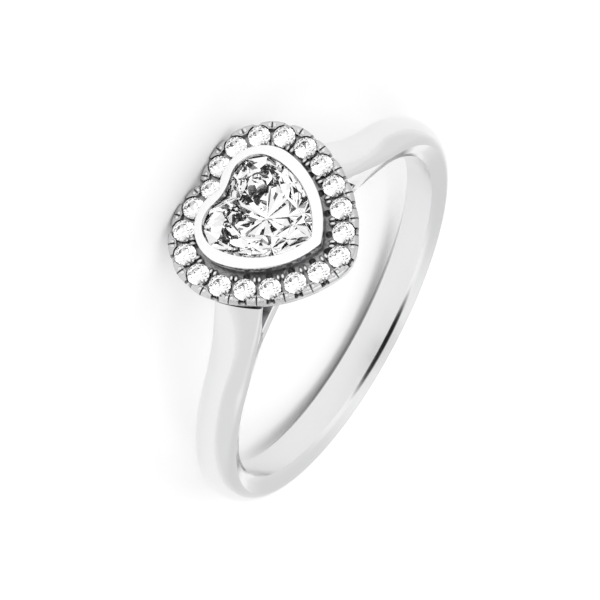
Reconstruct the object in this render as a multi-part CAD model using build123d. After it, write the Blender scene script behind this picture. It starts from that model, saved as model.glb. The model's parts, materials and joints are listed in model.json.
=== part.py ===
from build123d import *
from collections import namedtuple
import math
import os

# A heart ring: one soldered metal body with a bezelled heart stone inside a halo of round stones.
# All lengths are in millimetres and all angles in degrees. The ring is built on the bench with the
# finger along Y and the head up along Z, then laid on its side the way it rests on a table.

# Finger band
finger_diameter = 17.0
band_width = 2.16
band_thickness = 1.6
band_dome_rise = 0.85
band_haunch_radius = 0.68
bore_flat_width = 1.4
bore_bevel_width = 0.1
bore_bevel_depth = 0.13
section_foot_width = 1.35

# Rail that carries the bore on under the head
rail_thickness = 0.67

# Shoulders that rise from the band to the head
shoulder_start_angle = 58.0
flare_start_angle = 45.0
shoulder_reach = 4.52
strap_width = 2.2
strap_dome_rise = 0.28
strap_haunch_radius = 0.2
strap_thickness = 1.2
strap_turn = 22.0
window_foot_angle = 26.7
window_corner_radius = 0.15

# Head heights, each above the one named before it
plate_height_over_bore = 2.5
plate_thickness = 0.5
halo_girdle_over_plate = 0.19
claw_shelf_over_girdle = 0.08
claw_over_girdle = 0.16
bezel_over_halo_girdle = 0.74

# Heart outlines, as shares of the bezel's width: the bezel's outside, its mouth at the top, its mouth
# at the stone's girdle, and the line through the centres of the halo stones. The lobe line is how far
# the lobes' centres lie from the finger's middle plane. The side turn alone is an angle, and is where
# on a lobe the long side arc begins.
bezel_width = 6.0
Heart = namedtuple(
    "Heart", "lobe_line lobe_radius lobe_spread side_radius side_turn tip_radius notch_radius"
)
bezel_outline = Heart(-0.2633, 0.3183, 0.1817, 0.745, 9.2, 0.0267, 0.02)
bezel_mouth = Heart(-0.31, 0.2083, 0.2, 0.6417, 0.0, 0.0283, 0.4167)
stone_mouth = Heart(-0.2867, 0.22, 0.1867, 0.6917, 8.0, 0.02, 0.1333)
halo_centre_line = Heart(-0.2633, 0.4033, 0.2267, 0.9467, 11.8, 0.15, 0.2833)

# Bezel cup of the heart stone, with its lip, its groove for the girdle and its hollow. The groove's
# ledge lies as far under the girdle as the lip reaches over it, which clears the sloping pavilion.
bezel_lip_overlap = 0.12
bezel_lip_depth = 0.26
bezel_lip_gap = 0.1
bezel_upright = 0.3
bezel_taper = 0.22
bezel_corner_radius = 0.12
collet_foot_share = 0.36
collet_foot_sink = 0.12
hollow_foot_share = 0.14
hollow_floor = 0.25

# Rim of the halo. Its widths are measured outwards from the line through the stones' centres.
rim_foot_width = 0.58
rim_head_width = 0.72
rim_inner_width = 0.3
back_hole_radius = 0.3

# Stones. Each cut is a brilliant: heights are shares of the stone's width, and reaches are shares of
# the way from the stone's middle to its girdle.
Cut = namedtuple("Cut", "sides table crown pavilion star_reach half_reach")
round_cut = Cut(8, 0.56, 0.155, 0.43, 0.79, 0.28)
heart_cut = Cut(8, 0.6, 0.15, 0.45, 0.8, 0.5)
halo_stone_count = 20
halo_stone_diameter = 1.03
cleft_stone_diameter = 0.94
halo_girdle_thickness = 0.035
heart_girdle_thickness = 0.1
heart_stone_centre = -0.75
heart_cleft_relief = 0.12
stone_clearance = 0.04

# Claws of the halo, a pair outside and one inside of every gap between two stones
outer_claw_radius = 0.08
outer_claw_offset = 0.5
outer_claw_spread = 0.2
inner_claw_radius = 0.1
inner_claw_offset = 0.44
scallop_radius = 0.2
claw_split_width = 0.1
claw_split_depth = 0.3

# Heights and radii that follow from the sizes above
bore_radius = finger_diameter / 2
crown_radius = bore_radius + band_thickness
rail_radius = bore_radius + rail_thickness
plate_low = bore_radius + plate_height_over_bore
plate_high = plate_low + plate_thickness
halo_girdle = plate_high + halo_girdle_over_plate
claw_shelf = halo_girdle + claw_shelf_over_girdle
claw_top = halo_girdle + claw_over_girdle
bezel_top = halo_girdle + bezel_over_halo_girdle
heart_girdle = bezel_top - bezel_lip_depth
heart_stone_reach = bezel_lip_overlap - stone_clearance
cutter_overrun = 0.15


def polar(radius, angle):
    """Point across (X) and up (Z) at a distance from the finger axis, turned from the head."""
    return Vector(radius * math.sin(math.radians(angle)), 0, radius * math.cos(math.radians(angle)))


def blend(start, end, share):
    return start + (end - start) * share


def mirrored(solid):
    """The same solid on the other side of the ring."""
    return solid.mirror(Plane.YZ)


def arch(half_width, rise, haunch_radius):
    """Edges of a three-centre arch from the right springing point to the left one."""
    haunch_centre = half_width - haunch_radius
    crown = (haunch_centre**2 + rise**2 - haunch_radius**2) / (2 * (rise - haunch_radius))
    crown_centre = rise - crown
    turn = math.atan2(haunch_centre, -crown_centre)
    middle_turn = (math.pi / 2 - turn) / 2
    meet = (haunch_centre + haunch_radius * math.sin(turn), haunch_radius * math.cos(turn))
    half = (
        haunch_centre + haunch_radius * math.cos(middle_turn),
        haunch_radius * math.sin(middle_turn),
    )
    return [
        ThreePointArc((half_width, 0), half, meet),
        ThreePointArc(meet, (0, rise), (-meet[0], meet[1])),
        ThreePointArc((-meet[0], meet[1]), (-half[0], half[1]), (-half_width, 0)),
    ]


def band_section(width, depth, rise, haunch_radius):
    """Cross-section whose crown is the origin, up is outwards and depth runs to the inner side."""
    foot = section_foot_width / 2
    over_arch = [Pos(0, -rise) * edge for edge in arch(width / 2, rise, haunch_radius)]
    walls = [
        Line((-width / 2, -rise), (-foot, -depth)),
        Line((-foot, -depth), (foot, -depth)),
        Line((foot, -depth), (width / 2, -rise)),
    ]
    return make_face(Wire(over_arch + walls))


def section_plane(crown, outwards):
    """Plane of a cross-section: its x runs along the finger and its y points outwards."""
    return Plane(origin=crown, x_dir=(0, 1, 0), z_dir=Vector(0, 1, 0).cross(outwards))


def flare():
    """Centre and radius of the hollow arc that lifts the crown line from the band to the head."""
    start = polar(1, flare_start_angle)
    top = Vector(shoulder_reach, 0, plate_low)
    along = start.dot(top)
    radius = (top.dot(top) + crown_radius**2 - 2 * crown_radius * along) / (2 * (along - crown_radius))
    return start * (crown_radius + radius), radius


# Sections of a shoulder, at shares of the way along the band's crown circle from the shoulder's
# start to the flare's start, and then at shares of the flare's arc up to the plate. Strap is how far
# the section has gone from the band's form (0) to the strap's form (1), depth is its extra depth as
# a share of the band's thickness, and turn is its share of the strap's turn along the heart's side.
Station = namedtuple("Station", "share strap depth turn")
band_stations = [
    Station(0.0, 0.0, 0.0, 0.0),
    Station(0.5, 0.02, 0.0, 0.0),
]
flare_stations = [
    Station(0.0, 0.08, 0.02, 0.0),
    Station(0.25, 0.25, 0.14, 0.04),
    Station(0.5, 0.5, 0.4, 0.2),
    Station(0.75, 0.8, 0.5, 0.55),
    Station(1.04, 1.0, 0.3, 1.0),
]


def shoulder_section(plane, station):
    """Section of a shoulder. It turns about its far edge, so its near edge draws in to the heart."""
    width = blend(band_width, strap_width, station.strap)
    rise = blend(band_dome_rise, strap_dome_rise, station.strap)
    haunch = blend(band_haunch_radius, strap_haunch_radius, station.strap)
    depth = cutter_overrun + band_thickness * (1 + station.depth)
    far_edge = Pos(-width / 2, -rise)
    turned = far_edge * Rot(0, 0, -strap_turn * station.turn) * far_edge.inverse()
    return plane * turned * band_section(width, depth, rise, haunch)


def shoulder():
    """Right shoulder: a loft from the band's section up the flare to just inside the plate."""
    sections = []
    for station in band_stations:
        outwards = polar(1, blend(shoulder_start_angle, flare_start_angle, station.share))
        sections.append(shoulder_section(section_plane(outwards * crown_radius, outwards), station))
    centre, radius = flare()
    first = (polar(crown_radius, flare_start_angle) - centre).normalized()
    last = (Vector(shoulder_reach, 0, plate_low) - centre).normalized()
    across = Vector(first.Z, 0, -first.X)
    sweep = math.acos(first.dot(last))
    for station in flare_stations:
        swing = sweep * station.share
        inwards = first * math.cos(swing) + across * math.sin(swing)
        plane = section_plane(centre + inwards * radius, inwards * -1)
        sections.append(shoulder_section(plane, station))
    return Solid.make_loft([section.face().outer_wire() for section in sections])


def prism(points, half_width):
    """Block with a profile drawn across (X) and up (Z), centred on the finger's middle plane."""
    face = Face(Wire.make_polygon([Vector(x, -half_width, z) for x, z in points]))
    return Solid.extrude(face, Vector(0, 2 * half_width, 0))


def window():
    """What is cut away under a strap: everything inwards of its underside, down to the rail."""
    top = shoulder_reach - strap_thickness
    foot = polar(rail_radius, window_foot_angle)
    lean = (foot.X - top) / (plate_low - foot.Z)
    inner_height = bore_radius - 3 * cutter_overrun
    outline = [
        (0, plate_high),
        (top - lean * plate_thickness, plate_high),
        (foot.X, foot.Z),
        (foot.X * inner_height / foot.Z / 2, inner_height),
        (0, inner_height),
    ]
    block = prism(outline, band_width)
    corner = block.edges().filter_by(Axis.Y).sort_by_distance(foot)[0]
    return block.fillet(window_corner_radius, [corner])


def band():
    """The plain band, turned about the finger from one shoulder round the back to the other."""
    outwards = polar(1, shoulder_start_angle)
    section = shoulder_section(section_plane(outwards * crown_radius, outwards), band_stations[0])
    return Solid.revolve(section.face(), 360 - 2 * shoulder_start_angle, Axis.Y)


def rail():
    """The flat strip that carries the bore on under the head, from inside one shoulder to the other."""
    reach = (flare_start_angle + window_foot_angle) / 2
    start = section_plane(polar(rail_radius, -reach), polar(1, -reach))
    height = rail_thickness + cutter_overrun
    section = start * Pos(0, -height / 2) * Rectangle(bore_flat_width, height)
    return Solid.revolve(section.face(), 2 * reach, Axis.Y)


def finger_bore():
    """Cutter for the finger: a cylinder that opens into a bevel along both of its edges."""
    flat = bore_flat_width / 2
    reach = band_width
    mouth = bore_radius + (reach - flat) * bore_bevel_depth / bore_bevel_width
    outline = [
        Vector(0, -reach, 0),
        Vector(mouth, -reach, 0),
        Vector(bore_radius, -flat, 0),
        Vector(bore_radius, flat, 0),
        Vector(mouth, reach, 0),
        Vector(0, reach, 0),
    ]
    return Solid.revolve(Face(Wire.make_polygon(outline)), 360, Axis.Y)


def heart_arcs(heart, grow, corner_radius=0):
    """Arcs of a heart's outline, moved outwards by grow, as (start, middle, end) points."""
    lobe = heart.lobe_radius * bezel_width + grow
    side = heart.side_radius * bezel_width + grow
    tip = max(heart.tip_radius * bezel_width + grow, corner_radius)
    notch = heart.notch_radius * bezel_width - grow
    spread = heart.lobe_spread * bezel_width
    turn = math.radians(heart.side_turn)
    lobe_y = heart.lobe_line * bezel_width
    notch_centre = lobe_y - math.sqrt((lobe + notch) ** 2 - spread**2)
    lobe_start = math.atan2(notch_centre - lobe_y, -spread)
    side_x = spread - (side - lobe) * math.cos(turn)
    side_y = lobe_y - (side - lobe) * math.sin(turn)
    tip_y = side_y + math.sqrt((side - tip) ** 2 - side_x**2)
    side_end = math.atan2(tip_y - side_y, -side_x)

    def arc(x, y, radius, start, end):
        angles = (start, (start + end) / 2, end)
        return [(x + radius * math.cos(angle), y + radius * math.sin(angle)) for angle in angles]

    lobe_arc = arc(spread, lobe_y, lobe, lobe_start, turn)
    side_arc = arc(side_x, side_y, side, turn, side_end)
    tip_arc = [side_arc[2], (0, tip_y + tip), (-side_arc[2][0], side_arc[2][1])]
    notch_arc = [(-lobe_arc[0][0], lobe_arc[0][1]), (0, notch_centre + notch), lobe_arc[0]]
    left_arcs = [[(-x, y) for x, y in right[::-1]] for right in (side_arc, lobe_arc)]
    return [notch_arc, lobe_arc, side_arc, tip_arc] + left_arcs


def heart_wire(heart, grow, height, corner_radius=0):
    """A heart's outline as a level wire, with its tip along Y."""
    return Wire([
        ThreePointArc(*[(x, y, height) for x, y in arc])
        for arc in heart_arcs(heart, grow, corner_radius)
    ])


def heart_block(heart, grow, low, high, corner_radius=0):
    face = Face(heart_wire(heart, grow, low, corner_radius))
    return Solid.extrude(face, Vector(0, 0, high - low))


def shrunk_bezel(share, height):
    """The bezel's outline drawn smaller about the middle of the heart stone."""
    return Wire([
        ThreePointArc(*[
            (x * share, blend(heart_stone_centre, y, share), height) for x, y in arc
        ])
        for arc in heart_arcs(bezel_outline, 0)
    ])


def on_arc(arc, share):
    """Point at a share of the way along an arc given by three points."""
    return ThreePointArc(*arc).position_at(share)


def half_line(heart, grow, corner_radius=0):
    """Right half of a heart's outline as one wire, from the cleft round to the tip."""
    notch, lobe, side, tip = heart_arcs(heart, grow, corner_radius)[:4]
    half_notch = ThreePointArc(notch[1], on_arc(notch, 0.75), notch[2])
    half_tip = ThreePointArc(tip[0], on_arc(tip, 0.25), tip[1])
    return Wire([half_notch, ThreePointArc(*lobe), ThreePointArc(*side), half_tip])


def halo_places(shift):
    """Place and outward direction of each stone (shift 0) or of each gap after it (shift 0.5)."""
    line = half_line(halo_centre_line, 0)
    half = halo_stone_count / 2
    places = []
    for index in range(halo_stone_count):
        step = index + shift
        flip = -1 if step > half else 1
        share = (2 * half - step if step > half else step) / half
        point = line.position_at(share)
        along = line.tangent_at(share)
        places.append((Vector(point.X * flip, point.Y, 0), Vector(along.Y * flip, -along.X, 0)))
    return places


def halo_radius(index):
    """Radius of a halo stone. The one in the cleft is smaller."""
    return (cleft_stone_diameter if index == 0 else halo_stone_diameter) / 2


def collet():
    """Bezel cup of the heart stone: a foot on the rail, a tapered body and an upright lip."""
    foot = shrunk_bezel(collet_foot_share, rail_radius - collet_foot_sink)
    waist = heart_wire(bezel_outline, -bezel_taper, plate_low, bezel_corner_radius)
    turn_in = heart_wire(bezel_outline, 0, bezel_top - bezel_upright, bezel_corner_radius)
    top = heart_wire(bezel_outline, 0, bezel_top, bezel_corner_radius)
    body = Solid.make_loft([foot, waist], ruled=True)
    return body.fuse(
        Solid.make_loft([waist, turn_in], ruled=True), Solid.make_loft([turn_in, top], ruled=True)
    ).solid()


def heart_pocket():
    """Cutters for the heart stone: mouth in the lip, groove for the girdle, hollow under it."""
    groove_low = heart_girdle - heart_girdle_thickness - bezel_lip_overlap
    mouth = Solid.make_loft([
        heart_wire(stone_mouth, 0, heart_girdle, bezel_corner_radius),
        heart_wire(bezel_mouth, 0, bezel_top, bezel_corner_radius),
    ], ruled=True)
    groove = heart_block(
        stone_mouth, bezel_lip_overlap, groove_low, heart_girdle + bezel_lip_gap, bezel_corner_radius
    )
    seat = heart_wire(stone_mouth, 0, groove_low, bezel_corner_radius)
    bottom = shrunk_bezel(hollow_foot_share, rail_radius + hollow_floor)
    return [mouth, groove, Solid.make_loft([bottom, seat], ruled=True)]


def rim():
    """Plate under the halo with the outer wall that the claws are cut from."""
    foot = heart_wire(halo_centre_line, rim_foot_width, plate_low)
    head = heart_wire(halo_centre_line, rim_head_width, claw_shelf)
    wall = Solid.make_loft([foot, head], ruled=True)
    return wall - heart_block(halo_centre_line, rim_inner_width, plate_high, bezel_top)


def turned(outline, place):
    """Solid turned about an upright axis over a place on the head, from (radius, height) points."""
    face = Face(Wire.make_polygon([Vector(x, 0, z) for x, z in outline]))
    return Pos(place.X, place.Y, 0) * Solid.revolve(face, 360, Axis.Z)


def halo_seat(index, place):
    """Cutter for one halo stone: back hole, cone for the pavilion and an upright wall for the girdle."""
    radius = halo_radius(index) + stone_clearance
    girdle_low = halo_girdle - halo_girdle_thickness - stone_clearance
    back_hole_top = girdle_low - (radius - back_hole_radius) * round_cut.pavilion * 2
    mouth = bezel_top - bezel_upright
    return turned([
        (0, plate_low - cutter_overrun),
        (back_hole_radius, plate_low - cutter_overrun),
        (back_hole_radius, back_hole_top),
        (radius, girdle_low),
        (radius, mouth),
        (0, mouth),
    ], place)


def halo_cutters():
    """What the halo stones need cut from the metal: their seats, and scallops in the wall outside them."""
    cutters = []
    for index, (place, out) in enumerate(halo_places(0)):
        cutters.append(halo_seat(index, place))
        scallop = Plane(place + Vector(0, 0, halo_girdle), z_dir=out)
        cutters.append(Solid.make_cylinder(scallop_radius, 2 * rim_head_width, scallop))
    return cutters


def claw_splits():
    """Slots that split each lump of the outer wall into a pair."""
    length = 2 * rim_head_width
    slots = []
    for place, out in halo_places(0.5):
        plane = Plane(place + out * rim_head_width + Vector(0, 0, claw_shelf), x_dir=out)
        centred = plane * Pos(-length / 2, -claw_split_width / 2, -claw_split_depth)
        slots.append(centred * Solid.make_box(length, claw_split_width, 2 * claw_split_depth))
    return slots


def claw(place, radius):
    """Upright claw with a bevelled head."""
    return turned([
        (0, plate_high - cutter_overrun),
        (radius, plate_high - cutter_overrun),
        (radius, claw_top - radius),
        (radius * 0.7, claw_top - radius * 0.3),
        (0, claw_top),
    ], place)


def claws():
    """A pair of claws outside and one claw inside of every gap between halo stones."""
    rods = []
    for place, out in halo_places(0.5):
        along = Vector(-out.Y, out.X, 0) * (outer_claw_spread / 2)
        rods.append(claw(place + out * outer_claw_offset + along, outer_claw_radius))
        rods.append(claw(place + out * outer_claw_offset - along, outer_claw_radius))
        rods.append(claw(place - out * inner_claw_offset, inner_claw_radius))
    return rods


def mount():
    """All the metal, soldered into one solid."""
    right_shoulder = (shoulder() - window()).solid()
    metal = band() + rail() + right_shoulder + mirrored(right_shoulder) + collet() + rim()
    metal = metal - finger_bore()
    for cutters in (heart_pocket(), claw_splits(), halo_cutters()):
        metal = metal - cutters
    return (metal + claws()).solid()


def facet_stone(girdle, middle, width, cut, girdle_top, girdle_thickness):
    """Brilliant-cut stone over a girdle of twice cut.sides points, anticlockwise from a main facet."""
    step = math.cos(math.pi / cut.sides)
    star_level = (1 - cut.star_reach * step) / (1 - cut.table)
    half_level = 1 - cut.half_reach * step
    girdle_low = girdle_top - girdle_thickness
    table_top = girdle_top + cut.crown * width
    culet = girdle_low - cut.pavilion * width

    def ring(points, reach, height):
        return [
            Vector(blend(middle.X, point.X, reach), blend(middle.Y, point.Y, reach), height)
            for point in points
        ]

    upper = ring(girdle, 1, girdle_top)
    lower = ring(girdle, 1, girdle_low)
    table = ring(girdle[::2], cut.table, table_top)
    star = ring(girdle[1::2], cut.star_reach, blend(girdle_top, table_top, star_level))
    half = ring(girdle[1::2], cut.half_reach, blend(girdle_low, culet, half_level))
    point = Vector(middle.X, middle.Y, culet)
    outlines = [table]
    for index in range(cut.sides):
        here = 2 * index
        odd = here + 1
        after = (here + 2) % len(girdle)
        following = (index + 1) % cut.sides
        outlines += [
            (table[index], star[index], table[following]),
            (table[index], star[index - 1], upper[here]),
            (table[index], upper[here], star[index]),
            (star[index], upper[here], upper[odd]),
            (star[index], upper[odd], upper[after]),
            (upper[here], lower[here], lower[odd], upper[odd]),
            (upper[odd], lower[odd], lower[after], upper[after]),
            (half[index], lower[odd], lower[here]),
            (half[index], lower[after], lower[odd]),
            (point, lower[here], half[index - 1]),
            (point, half[index], lower[here]),
        ]
    return Solid(Shell([Face(Wire.make_polygon(outline)) for outline in outlines]))


def halo_stone(index, place):
    """Round stone, turned so that a main facet faces along the finger."""
    radius = halo_radius(index)
    count = 2 * round_cut.sides
    girdle = [
        place + Vector(radius, 0, 0).rotate(Axis.Z, 360 * point / count) for point in range(count)
    ]
    return facet_stone(girdle, place, 2 * radius, round_cut, halo_girdle, halo_girdle_thickness)


def heart_stone():
    """Heart-cut stone whose girdle sits in the groove of the bezel. Its cleft is eased off the metal."""
    line = half_line(stone_mouth, heart_stone_reach, bezel_corner_radius)
    shares = [index / heart_cut.sides for index in range(heart_cut.sides + 1)]
    right = [line.position_at(share) for share in shares]
    right[0] += Vector(0, heart_cleft_relief, 0)
    left = [Vector(-point.X, point.Y, 0) for point in right[-2:0:-1]]
    girdle = right + left
    middle = Vector(0, heart_stone_centre, 0)
    width = max(point.X for point in right) * 2
    return facet_stone(girdle, middle, width, heart_cut, heart_girdle, heart_girdle_thickness)


def resting_lean():
    """How far the finger axis leans from upright when the heart's lobes and the band's back lie down."""
    back_side = band_width / 2 - band_haunch_radius
    back_height = crown_radius - band_dome_rise
    lobe_end = (halo_centre_line.lobe_radius - halo_centre_line.lobe_line) * bezel_width
    leans = []
    for width, height in ((rim_foot_width, plate_low), (rim_head_width, claw_shelf)):
        side = lobe_end + width - back_side
        rise = height + back_height
        reach = math.hypot(side, rise)
        leans.append(math.acos(band_haunch_radius / reach) - math.atan2(rise, side))
    return math.degrees(max(leans))


pieces = {"ring_mount": mount(), "heart_stone": heart_stone()}
for number, (stone_place, _) in enumerate(halo_places(0)):
    pieces[f"halo_stone_{number + 1:02}"] = halo_stone(number, stone_place)

# Laid on its side, with the lowest point on the floor and the middle of its outline at the origin
laid = Rot(90 - resting_lean(), 0, 0)
box = (laid * pieces["ring_mount"]).bounding_box()
rest = Pos(-box.center().X, -box.center().Y, -box.min.Z) * laid

os.makedirs("parts", exist_ok=True)
for name, piece in pieces.items():
    export_step(rest * piece, f"parts/{name}.step")
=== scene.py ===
import json
import math

import bmesh
import bpy
from bpy.props import FloatProperty, FloatVectorProperty, PointerProperty
from bpy.types import Operator, Panel, PropertyGroup
from mathutils import Matrix, Vector


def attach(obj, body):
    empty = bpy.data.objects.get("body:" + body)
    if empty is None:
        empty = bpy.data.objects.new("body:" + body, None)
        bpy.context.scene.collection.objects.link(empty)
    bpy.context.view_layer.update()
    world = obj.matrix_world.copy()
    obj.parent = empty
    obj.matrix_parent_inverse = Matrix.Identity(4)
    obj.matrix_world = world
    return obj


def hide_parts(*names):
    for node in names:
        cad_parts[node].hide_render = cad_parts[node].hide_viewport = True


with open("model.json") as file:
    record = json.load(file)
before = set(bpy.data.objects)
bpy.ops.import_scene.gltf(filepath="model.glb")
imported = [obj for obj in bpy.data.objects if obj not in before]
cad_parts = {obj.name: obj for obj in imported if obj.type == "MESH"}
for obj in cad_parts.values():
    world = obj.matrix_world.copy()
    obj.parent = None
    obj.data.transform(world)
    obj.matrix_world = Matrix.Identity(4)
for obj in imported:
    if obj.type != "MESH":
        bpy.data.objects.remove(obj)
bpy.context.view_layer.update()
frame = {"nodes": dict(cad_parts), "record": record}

# The heart ring, dressed on its packed model: smooth metal in place of the soldered mount, and
# polished materials on the stones. All lengths are in metres. Pieces are drawn on the bench, where
# the finger lies along Y and the head is up along Z, and are then laid on their side as the ring rests.

bl_info = {
    "name": "Heart Ring",
    "version": (1, 0, 0),
    "blender": (4, 5, 0),
    "location": "3D View > Sidebar > Heart Ring",
    "description": "Builds the metal, the claws and the finishes of a heart ring around its packed frame",
    "category": "Add Mesh",
}

MM = 0.001
BODY = "root"
MOUNT_NODE = "ring_mount"
HEART_NODE = "heart_stone"
HALO_NODES = sorted(name for name in frame["nodes"] if name.startswith("halo_stone"))

finger_bore = next(mount for mount in frame["record"]["mounts"] if mount["name"] == "finger_bore")
BORE_RADIUS = finger_bore["dims"]["r_mm"] * MM
FINGER_WAY = Vector(finger_bore["axis"]).normalized()
ACROSS = Vector((1, 0, 0))
HEAD_WAY = ACROSS.cross(FINGER_WAY)
BENCH_AXES = Matrix((ACROSS, FINGER_WAY, HEAD_WAY)).transposed().to_4x4()
LAID = Matrix.Translation(finger_bore["pos_m"]) @ BENCH_AXES


def number(name, description, default, **more):
    return FloatProperty(name=name, description=description, default=default, **more)


def length(name, description, millimetres):
    return number(name, description, millimetres * MM, min=0.0, precision=5, unit="LENGTH")


def turn(name, description, degrees):
    return number(name, description, math.radians(degrees), min=0.0, subtype="ANGLE")


def share(name, description, default):
    return number(name, description, default, min=0.0, max=1.0, subtype="FACTOR")


def colour(name, description, default):
    return FloatVectorProperty(
        name=name, description=description, default=default, size=3, min=0.0, max=1.0, subtype="COLOR"
    )


def group(kind, name):
    return PointerProperty(type=kind, name=name, description=kind.__doc__)


class BandSizes(PropertyGroup):
    """Sizes of the band, its rail and its shoulders"""

    band_width: length("Band width", "Width of the plain band along the finger", 2.16)
    band_thickness: length("Band thickness", "Metal between the finger and the crown of the band", 1.6)
    dome_rise: length("Dome rise", "Height of the band's rounded outside", 0.85)
    haunch_radius: length("Haunch radius", "Rounding where the dome turns into the side wall", 0.68)
    foot_width: length("Foot width", "Width that the leaning side walls aim for at the bore", 1.35)
    bore_flat: length("Bore flat", "Width of the straight part of the bore", 1.4)
    bevel_width: length("Bevel width", "Width of the bevel along each edge of the bore", 0.1)
    bevel_depth: length("Bevel depth", "How far that bevel cuts back from the bore", 0.13)
    rail_thickness: length("Rail thickness", "Thickness of the strip that carries the bore on", 0.67)
    shoulder_start: turn("Shoulder start", "Angle from the head where the shoulder begins", 58.0)
    flare_start: turn("Flare start", "Angle from the head where the crown line starts to rise", 45.0)
    shoulder_reach: length("Shoulder reach", "Distance from the middle to the strap's crown", 4.52)
    strap_width: length("Strap width", "Width of the strap under the head", 2.2)
    strap_rise: length("Strap rise", "Height of the strap's rounded outside", 0.28)
    strap_haunch: length("Strap haunch", "Rounding of the strap's long edges", 0.2)
    strap_thickness: length("Strap thickness", "Thickness of the strap under the head", 1.2)
    strap_turn: turn("Strap turn", "How far the strap turns to follow the heart's side", 22.0)
    window_foot: turn("Window foot", "Angle from the head where the window under the strap begins", 26.7)


class HeadSizes(PropertyGroup):
    """Sizes of the bezel, the halo plate and the claws"""

    bezel_width: length("Bezel width", "Width of the heart bezel, which scales all heart outlines", 6.0)
    plate_height: length("Plate height", "Height of the halo plate over the bore", 2.5)
    plate_thickness: length("Plate thickness", "Thickness of the halo plate", 0.5)
    girdle_height: length("Girdle height", "Height of the halo stones' girdles over the plate", 0.19)
    shelf_height: length("Shelf height", "Height of the outer wall over the girdles", 0.08)
    claw_height: length("Claw height", "Height of the claws over the girdles", 0.16)
    bezel_height: length("Bezel height", "Height of the bezel over the girdles", 0.74)
    lip_overlap: length("Lip overlap", "Reach of the bezel's lip over the heart stone", 0.12)
    lip_depth: length("Lip depth", "Depth of the heart stone's girdle under the lip", 0.26)
    lip_gap: length("Lip gap", "Room in the groove over the girdle", 0.1)
    heart_girdle: length("Heart girdle", "Thickness of the heart stone's girdle", 0.1)
    bezel_upright: length("Bezel upright", "Height of the bezel's upright band", 0.3)
    bezel_taper: length("Bezel taper", "How far the bezel draws in down to the plate", 0.22)
    bezel_corner: length("Bezel corner", "Smallest rounding at the heart's tip", 0.12)
    edge_round: length("Edge rounding", "Polished rounding along the edges of the metal", 0.035)
    rim_foot: length("Rim foot", "Reach of the outer wall beyond the stones' centres at its foot", 0.58)
    rim_head: length("Rim head", "Reach of the outer wall beyond the stones' centres at its top", 0.72)
    rim_inner: length("Rim inner", "Reach of the outer wall's inside beyond the stones' centres", 0.3)
    seat_clearance: length("Seat clearance", "Gap between a halo stone and its seat", 0.04)
    back_hole: length("Back hole", "Radius of the hole behind each halo stone", 0.3)
    scallop: length("Scallop", "Radius of the scallop under each halo stone", 0.2)
    lump: length("Lump", "How far the outer wall swells out between two scallops", 0.07)
    lump_round: length("Lump rounding", "Rounding over the top of the outer wall", 0.2)
    side_hole: length("Side hole", "Radius of the holes between the bezel and the halo stones", 0.17)
    slot_width: length("Slot width", "Width of the slot that splits each claw pair", 0.06)
    slot_depth: length("Slot depth", "Depth of that slot", 0.2)
    outer_claw: length("Outer claw", "Radius of an outer claw", 0.1)
    inner_claw: length("Inner claw", "Radius of an inner claw", 0.08)


class StoneSizes(PropertyGroup):
    """Sizes of the halo stones that the metal is cut for"""

    halo_stone: length("Halo stone", "Diameter of a halo stone", 1.03)
    cleft_stone: length("Cleft stone", "Diameter of the smaller stone in the cleft", 0.94)
    girdle_thickness: length("Girdle thickness", "Thickness of a halo stone's girdle", 0.035)
    pavilion: share("Pavilion share", "Depth of a halo stone's pavilion as a share of its width", 0.43)


class Finishes(PropertyGroup):
    """Colours and polish"""

    metal: colour("Metal", "Colour of the plated white gold", (0.78, 0.78, 0.785))
    # Painted light: a lighter copy of the same plated white gold, given to the bezel so it shows brighter
    lip_metal_painted_lighter: colour("Lip metal", "Colour of the brightest polish, on the bezel", (0.9, 0.9, 0.905))
    # Painted shade: a darker copy of the same plated white gold, given to the metal round the halo stones
    set_metal_painted_darker: colour("Set metal", "Colour of the worked metal round the halo stones", (0.6, 0.6, 0.605))
    # Painted shade: the dark colour given to the metal in its recesses, where other metal is near
    painted_recess_shade: colour("Recess", "Colour of the metal deep between claws", (0.13, 0.13, 0.133))
    polish: share("Metal roughness", "Roughness of the polished metal", 0.12)
    relief: share("Set relief", "Strength of the fine tool marks round the halo stones", 0.35)
    gem: colour("Gem", "Colour of the clear stones", (1.0, 1.0, 1.0))
    heart_index: number("Heart index", "Refractive index of the heart stone", 2.4, min=1.0)
    halo_index: number("Halo index", "Refractive index of the halo stones", 1.95, min=1.0)
    gem_mirror: share("Gem mirror", "Share of the reflection that stays on top of the stones", 0.1)
    gem_haze: share("Gem haze", "Roughness at the haziest spots of the stones", 0.02)
    floor: colour("Floor", "Colour of the pale floor", (0.97, 0.97, 0.97))
    floor_glow: share("Floor glow", "Light that the white card gives off, as one lit from below", 0.16)


class Studio(PropertyGroup):
    """Camera and light"""

    lens: number("Lens", "Focal length for a 36 mm sensor, in millimetres", 223.01)
    dome: number("Dome light", "Strength of the white dome", 1.0, min=0.0)
    key_power: number("Key light", "Power of the large soft box", 0.25, unit="POWER")


# Heart outlines as shares of the bezel's width: place of the lobes' middles along the heart, radius of a
# lobe, how far the lobes spread, radii of a side, the tip and the cleft. Last is a side's turn in degrees.
HEARTS = {
    "outside": (-0.2633, 0.3183, 0.1817, 0.745, 0.0267, 0.02, 9.2),
    "mouth": (-0.31, 0.2083, 0.2, 0.6417, 0.0283, 0.4167, 0.0),
    "girdle": (-0.2867, 0.22, 0.1867, 0.6917, 0.02, 0.1333, 8.0),
    "halo": (-0.2633, 0.4033, 0.2267, 0.9467, 0.15, 0.2833, 11.8),
}


def blend(start, end, amount):
    return start + (end - start) * amount


def polar(radius, angle):
    """Point across (X) and up (Z) at a distance from the finger axis, turned from the head."""
    return Vector((radius * math.sin(angle), 0.0, radius * math.cos(angle)))


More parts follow.
